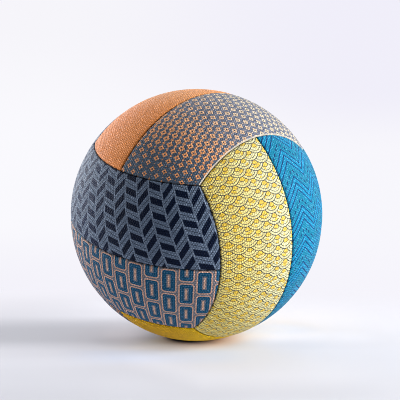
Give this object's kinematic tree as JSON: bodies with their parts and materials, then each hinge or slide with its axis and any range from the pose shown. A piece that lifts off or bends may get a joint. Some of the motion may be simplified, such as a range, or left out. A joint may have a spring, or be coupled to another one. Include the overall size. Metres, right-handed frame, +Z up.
{
  "type": "netball",
  "caption": "Hand-stitched netball: spherical panelled rubber cover with cloth lining, stitched seams, inflated bladder and needle valve.",
  "frame": {"origin": "centre of the ball", "axes": "+Z up as the ball lies at rest, -Z towards the point it rests on; +X to the right and -Y towards the viewer of the picture"},
  "size_m": [0.2228, 0.2228, 0.2228],
  "materials": {
    "skin_slate_navy": "satin",
    "skin_blue_salmon": "satin",
    "skin_yellow_line": "satin",
    "skin_bright_blue": "satin",
    "skin_slate_orange": "satin",
    "skin_plain_orange": "satin",
    "skin_plain_yellow": "satin",
    "lining_cloth": "matte",
    "waxed_thread": "matte",
    "bladder_rubber": "satin",
    "patch_rubber": "matte",
    "ring_cloth": "matte",
    "valve_rubber": "satin",
    "valve_core_rubber": "satin"
  },
  "bodies": {
    "root": {"front_left_upper_panel": "skin_slate_navy", "front_left_lower_panel": "skin_blue_salmon", "front_right_near_panel": "skin_yellow_line", "front_right_far_panel": "skin_bright_blue", "top_right_panel": "skin_slate_orange", "top_left_panel": "skin_plain_orange", "back_right_upper_panel": "skin_bright_blue", "back_right_lower_panel": "skin_yellow_line", "back_left_near_panel": "skin_slate_navy", "back_left_far_panel": "skin_blue_salmon", "bottom_right_panel": "skin_plain_yellow", "bottom_left_panel": "skin_slate_orange", "front_left_upper_lining": "lining_cloth", "front_left_lower_lining": "lining_cloth", "front_right_near_lining": "lining_cloth", "front_right_far_lining": "lining_cloth", "top_right_lining": "lining_cloth", "top_left_lining": "lining_cloth", "back_right_upper_lining": "lining_cloth", "back_right_lower_lining": "lining_cloth", "back_left_near_lining": "lining_cloth", "back_left_far_lining": "lining_cloth", "bottom_right_lining": "lining_cloth", "bottom_left_lining": "lining_cloth", "front_left_mid_seam_thread": "waxed_thread", "front_right_mid_seam_thread": "waxed_thread", "top_mid_seam_thread": "waxed_thread", "back_right_mid_seam_thread": "waxed_thread", "back_left_mid_seam_thread": "waxed_thread", "bottom_mid_seam_thread": "waxed_thread", "top_front_left_seam_thread": "waxed_thread", "top_back_right_seam_thread": "waxed_thread", "bottom_front_left_seam_thread": "waxed_thread", "bottom_back_right_seam_thread": "waxed_thread", "front_right_top_seam_thread": "waxed_thread", "front_right_bottom_seam_thread": "waxed_thread", "back_left_top_seam_thread": "waxed_thread", "back_left_bottom_seam_thread": "waxed_thread", "front_left_front_right_seam_thread": "waxed_thread", "front_left_back_left_seam_thread": "waxed_thread", "back_right_front_right_seam_thread": "waxed_thread", "back_right_back_left_seam_thread": "waxed_thread", "bladder": "bladder_rubber", "bladder_balance_patch": "patch_rubber", "valve_stiffening_ring": "ring_cloth", "valve_body": "valve_rubber", "valve_core": "valve_core_rubber"}
  },
  "joints": []
}
